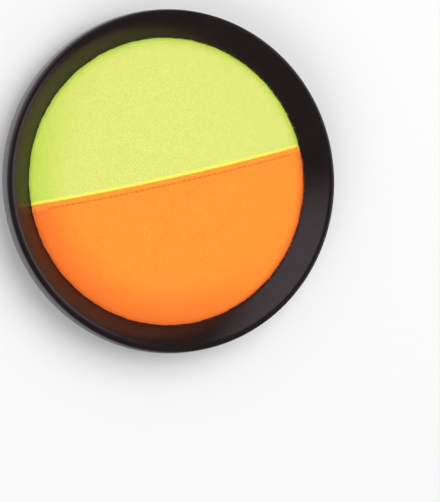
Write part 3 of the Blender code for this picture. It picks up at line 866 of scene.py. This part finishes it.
seam_ends = []
for shift in (SEAM_STITCH_GAP, STITCH_PITCH - SEAM_STITCH_GAP):
    seam_x = np.arange(-SEAM_STITCH_REACH, SEAM_STITCH_REACH, STITCH_PITCH) + shift
    seam_y = seam_line(seam_x) - SEAM_STITCH_INSET
    seam_ends.append(np.stack([seam_x, seam_y, fabric_top(seam_x, seam_y, True)], axis=1))
seam_shape = stitches(*seam_ends, lift=0.34, sink=0.3, side_up=1, radius=0.26)
seam = add_piece("seam_stitches", orange_thread, seam_shape, "paddle", ["seam_stitching"])

foam_r = FOAM_RADIUS * np.sin(np.linspace(0, np.pi / 2, 30))
foam_top = np.stack([foam_r, fabric_under(foam_r, 0) - GAP], axis=1)
foam_low = np.stack([foam_r, floor_under(foam_r) + FLOOR_THICKNESS + GAP], axis=1)[::-1]
foam_shape = turned(np.concatenate([foam_top, foam_low]), 160)
foam = add_piece("foam_backing", foam_grey, foam_shape, "paddle", ["foam_pad"])


# Strap

def strap_band(path, half_width, half_thickness, begin=0.0):
    """A woven strap: a flat loop with round edges is carried along an (x, z) path.

    At length s, counted on from begin, and place v across, the surface rises by a herringbone of ribs, sin
    of s plus or minus v, which changes sign from stripe to stripe across. Both ends close to a line.
    """
    along = unit(np.gradient(path, axis=0))
    up = np.stack([along[:, 1], -along[:, 0]], axis=1)
    length = begin + np.concatenate([[0], np.cumsum(np.hypot(*np.diff(path, axis=0).T))])
    half_width = np.broadcast_to(half_width, len(path))[:, None]
    half_thickness = half_thickness[:, None]
    flat = np.linspace(-1, 1, FLAT_POINTS)
    turn = np.linspace(np.pi / 2, -np.pi / 2, EDGE_POINTS + 2)[1:-1]
    level, edge = np.ones(FLAT_POINTS), np.ones(EDGE_POINTS)
    across = np.concatenate([flat, edge, flat[::-1], -edge])
    bulge = np.concatenate([0 * level, np.cos(turn), 0 * level, -np.cos(turn)])
    lift = np.concatenate([level, np.sin(turn), -level, -np.sin(turn)])
    y = across * (half_width - STRAP_THICKNESS / 2) + bulge * half_thickness
    slant = np.where(np.floor(y / STRIPE_WIDTH) % 2 == 0, 1.0, -1.0)
    wave = np.sin(2 * np.pi * (length[:, None] + slant * (y % STRIPE_WIDTH)) / RIB_PITCH)
    face = np.abs(lift) == 1
    rib = np.where(face, 0.5 + 0.5 * wave, 0.4)
    hollow = RIB_DEPTH * (wave - 1) * np.minimum(1, half_thickness)
    height = lift * half_thickness + np.where(face, lift * hollow, 0)
    points = np.stack([path[:, :1] + up[:, :1] * height, y, path[:, 1:] + up[:, 1:] * height], axis=-1)
    uv = np.stack([np.broadcast_to(length[:, None], y.shape), y + (lift < 0) * 60], axis=-1)
    faces = grid_faces(*y.shape, close_columns=True)
    return points.reshape(-1, 3), faces, {"rib": rib}, uv.reshape(-1, 2)


def flat_path(start, end, height, steps):
    """Level (x, z) points from start to end."""
    return np.stack([np.linspace(start, end, steps), np.full(steps, height)], axis=1)


def closing(distance_start, distance_end):
    """Half thickness along a strap whose ends are rounded over, as the root of 1 - (1 - s)^2."""
    share = np.clip(np.minimum(distance_start, distance_end) / END_ROUNDING, 0, 1)
    return STRAP_THICKNESS / 2 * np.sqrt(1 - (1 - share) ** 2)


half_strap = STRAP_WIDTH / 2
root_run = flat_path(BOSS_FAR, HINGE_X, STRAP_Z, 42)
drop = np.linspace(0, 1, 44)[1:]
drop_z = STRAP_Z - STRAP_DROP * smooth_step(0, 1, drop)
drop_run = np.stack([HINGE_X - STRAP_DROP_LENGTH * drop, drop_z], axis=1)
flap_run = flat_path(HINGE_X - STRAP_DROP_LENGTH, JOIN_X + BUTT, FLAP_Z, 72)[1:]
main_path = np.concatenate([root_run, drop_run, flap_run, [[JOIN_X, FLAP_Z]]])
main_thickness = closing(BOSS_FAR - main_path[:, 0], (main_path[:, 0] - JOIN_X) / BUTT)
main_strap = make_piece("strap_main", webbing, *strap_band(main_path, half_strap, main_thickness))
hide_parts("strap_root", "strap_flap")
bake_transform(main_strap)

tip_path = np.concatenate([[[JOIN_X, FLAP_Z]], flat_path(JOIN_X - BUTT, TIP_END, FLAP_Z, 90)])
from_end = tip_path[:, 0] - TIP_END
corner_share = np.clip(1 - from_end / TIP_CORNER, 0, 1)
tip_width = half_strap - TIP_CORNER * (1 - np.sqrt(1 - corner_share ** 2))
tip_thickness = closing((JOIN_X - tip_path[:, 0]) / BUTT, from_end)
main_length = np.hypot(*np.diff(main_path, axis=0).T).sum()
tip_shape = strap_band(tip_path, tip_width, tip_thickness, main_length)
tip_strap = make_piece("strap_tip_end", webbing, *tip_shape)
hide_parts("strap_tip")
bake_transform(tip_strap)

tab_path = flat_path(TAB_END, -BOSS_FAR, STRAP_Z, 108)
tab_thickness = closing(TAB_END - tab_path[:, 0], tab_path[:, 0] + BOSS_FAR)
tab_shape = strap_band(tab_path, half_strap, tab_thickness)
add_piece("strap_tab_end", webbing, tab_shape, "paddle", ["strap_tab"])


# Hook and loop tape

def tape_base(x_low, z_low):
    """The flat base of a patch."""
    return rounded_slab(x_low, PATCH_START, HALF_PATCH, z_low, z_low + PATCH_BASE, PATCH_CORNER,
                        PATCH_ROUNDING)


def patch_spots(x_low, pitch, height):
    """A grid of places on a patch, clear of its edge, each moved a little at random."""
    x, y = (part.ravel() for part in np.meshgrid(np.arange(x_low + 1, PATCH_START - 0.9, pitch),
                                                 np.arange(-HALF_PATCH + 1, HALF_PATCH - 0.9, pitch)))
    x = x + chance.normal(0, 0.1, len(x))
    y = y + chance.normal(0, 0.1, len(y))
    return np.stack([x, y, np.full(len(x), height)], axis=1)


def patch_stitches(x_low, height, side_up):
    """Stitches round a patch, a little inside its edge, each a tenth of its pitch shorter at both ends."""
    x0, x1 = x_low + PATCH_STITCH_INSET, PATCH_START - PATCH_STITCH_INSET
    y1 = HALF_PATCH - PATCH_STITCH_INSET
    along = np.linspace(x0, x1, round((x1 - x0) / STITCH_PITCH) + 1)
    across = np.linspace(-y1, y1, round(2 * y1 / STITCH_PITCH) + 1)
    lines = [(along, np.full(len(along), y)) for y in (-y1, y1)]
    lines += [(np.full(len(across), x), across) for x in (x0, x1)]
    lines = [np.stack([x, y, np.full(len(x), height)], axis=1) for x, y in lines]
    start = np.concatenate([line[:-1] for line in lines])
    end = np.concatenate([line[1:] for line in lines])
    trim = (end - start) * 0.1
    return stitches(start + trim, end - trim, lift=0.2, sink=0.35, side_up=side_up, radius=0.24)


hook_low = FLAP_Z + STRAP_THICKNESS / 2 + PATCH_GAP
add_piece("hook_patch_tape", hook_tape, tape_base(HOOK_PATCH_END, hook_low), "tip", ["hook_patch"])
loop_low = STRAP_Z - STRAP_THICKNESS / 2 - PATCH_GAP - PATCH_BASE
add_piece("loop_patch_tape", loop_tape, tape_base(LOOP_PATCH_END, loop_low), "paddle", ["loop_patch"])

spots = patch_spots(HOOK_PATCH_END, TAPE_HOOK_PITCH, hook_low + PATCH_BASE)
hooks = hook_pile(spots, np.broadcast_to(UP, spots.shape), random_lean(len(spots)),
                  np.full(len(spots), TAPE_HOOK_HEIGHT))
add_piece("hook_patch_hooks", tape_pile, hooks, "tip", [], weld=False)

spots = patch_spots(LOOP_PATCH_END, TAPE_LOOP_PITCH, loop_low)
lean = random_lean(len(spots))
bow = np.linspace(0, np.pi, 6)
loop_paths = spots[:, None, :] + TAPE_LOOP_RADIUS * np.cos(bow)[None, :, None] * lean[:, None, :]
fullness = 0.8 + 0.4 * chance.random(len(spots))
loop_paths[:, :, 2] -= TAPE_LOOP_RADIUS * np.sin(bow) * fullness[:, None] - PATCH_GAP
loops = wires(loop_paths, np.cross(lean, UP), np.full((1, 6), TAPE_LOOP_WIRE), 3)
# Painted shade and sheen: the loops are paler at their tops and darker at their feet.
marks = {"rise": np.tile(np.repeat(np.sin(bow), 3), len(spots))}
add_piece("loop_patch_loops", tape_pile, (*loops, marks), "paddle", [], weld=False)

hook_thread = patch_stitches(HOOK_PATCH_END, FLAP_Z - STRAP_THICKNESS / 2, -1)
add_piece("hook_patch_stitches", black_thread, hook_thread, "tip", ["hook_patch_stitching"])
loop_thread = patch_stitches(LOOP_PATCH_END, STRAP_Z + STRAP_THICKNESS / 2, 1)
add_piece("loop_patch_stitches", black_thread, loop_thread, "paddle", ["loop_patch_stitching"])


# Rivets and washers

def at_rivets(shape):
    """The same turned shape at the four rivet places."""
    points, faces = shape
    return joined([(points + [x, y, 0], faces) for x in (-RIVET_X, RIVET_X) for y in (-RIVET_Y, RIVET_Y)])


washer_high = STRAP_Z - STRAP_THICKNESS / 2 - SEAT_GAP
washer_low = washer_high - WASHER_THICKNESS
head_high = washer_low - SEAT_GAP
tail_low = floor_under(RIVET_X) + FLOOR_THICKNESS - RIVET_TAIL_SINK
tail_high = tail_low + RIVET_TAIL_HEIGHT
dome = np.linspace(0, np.pi / 2, 10)
dome_z = head_high - RIVET_HEAD_EDGE - RIVET_DOME_HEIGHT * np.sin(dome)
head = np.stack([RIVET_HEAD_RADIUS * np.cos(dome), dome_z], axis=1)
body = rounded_line(
    [[0, tail_high], [RIVET_TAIL_RADIUS, tail_high], [RIVET_TAIL_RADIUS, tail_low],
     [RIVET_SHANK_RADIUS, tail_low], [RIVET_SHANK_RADIUS, head_high], [RIVET_HEAD_RADIUS, head_high],
     head[0]],
    [0, 0.25, 0.1, 0.1, 0.1, 0.15, 0], 5)
ring = rounded_line(
    [[WASHER_MIDDLE, washer_high], [WASHER_RADIUS, washer_high], [WASHER_RADIUS, washer_low],
     [WASHER_HOLE, washer_low], [WASHER_HOLE, washer_high], [WASHER_MIDDLE, washer_high]],
    [0, 0.15, 0.2, 0.1, 0.1, 0], 5)[:-1]
rivet = turned(np.concatenate([body, head[1:]]), 40)
washer = turned(ring, 40, close=True)
for label, shape in (("rivet", rivet), ("washer", washer)):
    nodes = [f"{label}_{side}_{row}" for side in ("left", "right") for row in ("lower", "upper")]
    add_piece(f"strap_{label}s", rivet_metal, at_rivets(shape), "paddle", nodes)


# Floor, light and camera

def ray_kinds(tree):
    """1 for a ray straight from the camera, and 1 for one that a surface has mirrored or let through."""
    seen = add_node(tree, "LightPath").outputs
    mirrored = math_node(tree, "MAXIMUM", seen["Is Glossy Ray"], seen["Is Transmission Ray"])
    return seen["Is Camera Ray"], mirrored


def shade_along(tree, place, direction, start, stop, low, high, **settings):
    """A value that goes from low to high as a place moves along a direction from start to stop."""
    along = add_node(tree, "VectorMath", {0: place, 1: direction}, operation="DOT_PRODUCT").outputs["Value"]
    return add_node(tree, "MapRange", {"Value": along, "From Min": start, "From Max": stop,
                                       "To Min": low, "To Max": high}, **settings).outputs[0]


def make_floor():
    """A broad pale floor that takes shadows near the object and is plain white far from it.

    In reflections it is white on one side and falls off to grey on the other, as with one white card beside
    the object.
    """
    made = bpy.data.materials.new("pale_floor")
    made.use_nodes = True
    tree = made.node_tree
    tree.nodes.clear()
    place = add_node(tree, "TexCoord").outputs["Object"]
    away = add_node(tree, "VectorMath", {0: place}, operation="LENGTH").outputs["Value"]
    far = add_node(tree, "MapRange", {"Value": away, "From Min": 0.25, "From Max": 0.7}).outputs[0]
    direct, mirrored = ray_kinds(tree)
    far = math_node(tree, "MULTIPLY", direct, far)
    pale = add_node(tree, "BsdfDiffuse", {"Color": (0.86, 0.86, 0.86, 1)})
    card = shade_along(tree, place, (0.8, -0.6, 0), -0.08, 0.03, 0.97, 0.3)
    level = math_node(tree, "MULTIPLY_ADD", mirrored, math_node(tree, "SUBTRACT", card, 1.0), 1.0)
    white = add_node(tree, "Emission", {"Color": level, "Strength": 1.0})
    both = add_node(tree, "MixShader", {0: math_node(tree, "MAXIMUM", mirrored, far),
                                        1: pale.outputs[0], 2: white.outputs[0]})
    add_node(tree, "OutputMaterial", {0: both.outputs[0]})
    reach = np.linspace(-9000, 9000, 3)
    x, y = (part.ravel() for part in np.meshgrid(reach, reach))
    points = np.stack([x, y, np.full(9, -0.02)], axis=1)
    return make_piece("floor", made, points, grid_faces(3, 3), weld=False)


make_floor()


def add_area_light(name, place, size, power):
    """A round lamp that faces the origin and isn't mirrored itself."""
    light = bpy.data.lights.new(name, "AREA")
    light.shape = "DISK"
    light.size = size
    light.energy = power
    made = bpy.data.objects.new(name, light)
    bpy.context.scene.collection.objects.link(made)
    made.location = place
    made.visible_glossy = False
    tilt = math.acos(place[2] / np.linalg.norm(place))
    made.rotation_euler = (tilt, 0, math.atan2(place[1], place[0]) + math.pi / 2)


add_area_light("key_light", (0.5, 0.42, 1.4), 1.5, 15.4)
add_area_light("fill_light", (-1.0, -0.74, 1.05), 1.2, 8.4)

world = bpy.data.worlds.new("studio")
world.use_nodes = True
bpy.context.scene.world = world
tree = world.node_tree
tree.nodes.clear()
way = add_node(tree, "TexCoord").outputs["Generated"]
cards = [shade_along(tree, way, direction, 0.62, 0.95, 0.12, level, interpolation_type="SMOOTHSTEP")
         for direction, level in (((0.97, 0.0, 0.2), 1.15), ((-0.45, 0.8, 0.4), 1.0))]
lit = math_node(tree, "MAXIMUM", *cards)
direct, mirrored = ray_kinds(tree)
around = add_node(tree, "Background", {"Color": (0.47, 0.47, 0.47, 1), "Strength": 1.0})
backdrop = add_node(tree, "Background", {"Color": lit, "Strength": 1.0})
white = add_node(tree, "Background", {"Color": (1, 1, 1, 1), "Strength": 1.0})
both = add_node(tree, "MixShader", {0: mirrored, 1: around.outputs[0], 2: backdrop.outputs[0]})
shown = add_node(tree, "MixShader", {0: direct, 1: both.outputs[0], 2: white.outputs[0]})
add_node(tree, "OutputWorld", {0: shown.outputs[0]})

camera = bpy.data.objects.new("camera", bpy.data.cameras.new("camera"))
bpy.context.scene.collection.objects.link(camera)
camera.data.sensor_width = 36
camera.data.lens = 142.91
camera.location = (-0.33245, 0.03514, 1.07505)
camera.rotation_euler = [math.radians(angle) for angle in (-0.041, -18.807, -12.56)]
bpy.context.scene.camera = camera
bpy.context.scene.view_settings.view_transform = "Standard"
